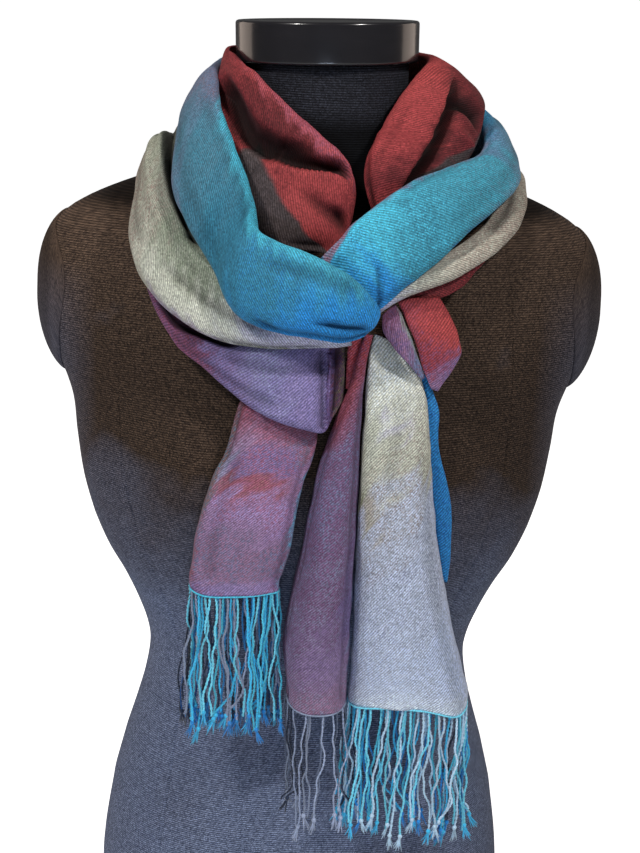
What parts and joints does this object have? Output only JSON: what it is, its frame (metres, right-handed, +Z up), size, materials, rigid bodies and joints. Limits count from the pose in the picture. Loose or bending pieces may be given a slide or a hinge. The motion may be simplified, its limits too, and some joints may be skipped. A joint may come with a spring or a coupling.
{
  "type": "silk cashmere scarf on a dress form",
  "caption": "Fringed silk cashmere scarf wound round the neck of a limbless dress form and tied in front, its tails hanging over the chest; stands on the form's flat base.",
  "frame": {"origin": "on the form's flat base, under the neck's axis", "axes": "+Z up; -Y is the front, where the scarf is tied; +X is the viewer's right"},
  "size_m": [0.3918, 0.2581, 0.6879],
  "materials": {
    "form_jersey": "fine dark jersey, matt",
    "form_cap": "gloss black lacquer",
    "cloth_teal": "silk cashmere twill, teal, soft sheen",
    "cloth_sage": "silk cashmere twill, sage to lilac, soft sheen",
    "cloth_crimson": "silk cashmere twill, dusky crimson, soft sheen",
    "cloth_mauve": "silk cashmere twill, mauve, soft sheen",
    "cloth_rose": "silk cashmere twill, dusty rose, soft sheen",
    "cloth_plum": "silk cashmere twill, plum, soft sheen",
    "cloth_silver": "silk cashmere twill, silver lilac, soft sheen",
    "cloth_azure": "silk cashmere twill, azure, soft sheen",
    "fringe_cyan": "twisted silk cashmere threads, cyan and blue",
    "fringe_grey": "twisted silk cashmere threads, grey blue"
  },
  "bodies": {
    "root": {"form_torso": "form_jersey", "form_neck_cap": "form_cap", "form_arm_cap_left": "form_jersey", "form_arm_cap_right": "form_jersey", "scarf_upper_left": "cloth_teal", "scarf_upper_back": "cloth_teal", "scarf_upper_right": "cloth_teal", "scarf_lower_left": "cloth_sage", "scarf_lower_back": "cloth_sage", "scarf_lower_right": "cloth_sage", "scarf_collar_left": "cloth_crimson", "scarf_collar_back": "cloth_crimson", "scarf_collar_right": "cloth_crimson", "scarf_right_inner": "cloth_crimson", "scarf_cross_wrap": "cloth_mauve", "scarf_knot_core": "cloth_crimson", "scarf_outer_leaf": "cloth_crimson", "scarf_inner_leaf": "cloth_mauve", "scarf_tail_left": "cloth_rose", "scarf_tail_middle": "cloth_plum", "scarf_tail_right": "cloth_silver", "scarf_tail_edge": "cloth_azure", "scarf_fringe_left": "fringe_cyan", "scarf_fringe_middle": "fringe_grey", "scarf_fringe_right": "fringe_cyan"}
  },
  "joints": []
}
